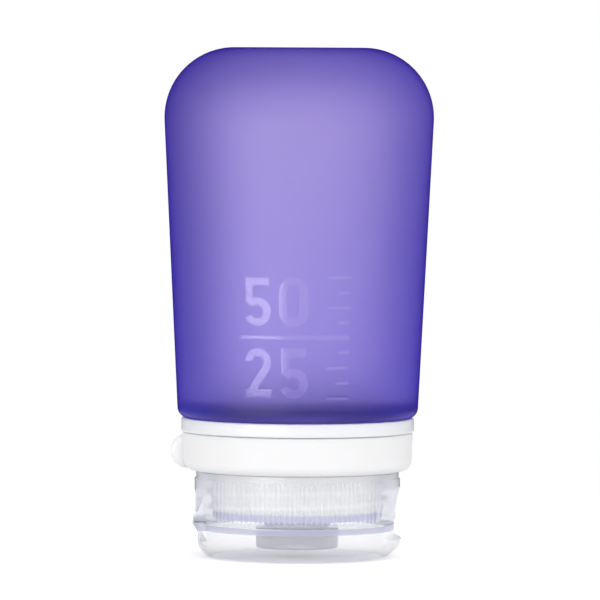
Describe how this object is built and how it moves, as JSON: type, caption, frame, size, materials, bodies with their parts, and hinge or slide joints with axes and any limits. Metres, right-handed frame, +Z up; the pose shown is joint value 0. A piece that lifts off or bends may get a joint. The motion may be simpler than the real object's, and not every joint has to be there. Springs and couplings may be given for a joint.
{
  "type": "travel squeeze bottle",
  "caption": "Soft silicone squeeze bottle for travel that stands on its clear flip lid, with a screw cap, a slit valve, a rigid collar and a soft ring with a tab.",
  "frame": {"origin": "centre of the lid's outer face, on which the bottle stands", "axes": "+Z up the bottle's axis from the lid to the base of the silicone body, +X from the living hinge to the lifting lip, +Y completes a right-handed frame"},
  "size_m": [0.0472, 0.0472, 0.0892],
  "materials": {
    "silicone": "frosted translucent silicone",
    "collar_plastic": "satin white",
    "ring_elastomer": "soft matt white",
    "clear_plastic": "clear with a slight haze",
    "valve_silicone": "milky soft silicone",
    "retainer_plastic": "plain white"
  },
  "bodies": {
    "bottle": {"bottle_body": "silicone", "neck_collar": "collar_plastic"},
    "tab_ring": {"tab_ring": "ring_elastomer"},
    "retainer": {"valve_retainer": "retainer_plastic"},
    "cap": {"screw_cap": "clear_plastic", "slit_valve": "valve_silicone", "hinge_film": "clear_plastic", "hinge_straps": "clear_plastic"},
    "lid": {"flip_lid": "clear_plastic"}
  },
  "joints": [
    {"name": "ring_turn", "type": "hinge", "parent": "bottle", "child": "tab_ring", "pos_m": [0, 0, 0.0185], "axis": [0, 0, 1], "continuous": true},
    {"name": "cap_lift", "type": "slide", "parent": "bottle", "child": "retainer", "axis": [0, 0, -1], "range_m": [0, 0.0025]},
    {"name": "cap_turn", "type": "hinge", "parent": "retainer", "child": "cap", "pos_m": [0, 0, 0.0062], "axis": [0, 0, -1], "range_deg": [0, 360]},
    {"name": "lid_flip", "type": "hinge", "parent": "cap", "child": "lid", "pos_m": [-0.0182, 0, 0.0065], "axis": [0, 1, 0], "range_deg": [0, 175], "deforming": ["hinge_film", "hinge_straps"]}
  ],
  "couplings": [
    {"joint": "cap_lift", "follows": "cap_turn", "m_per_rad": 0.00039789}
  ]
}
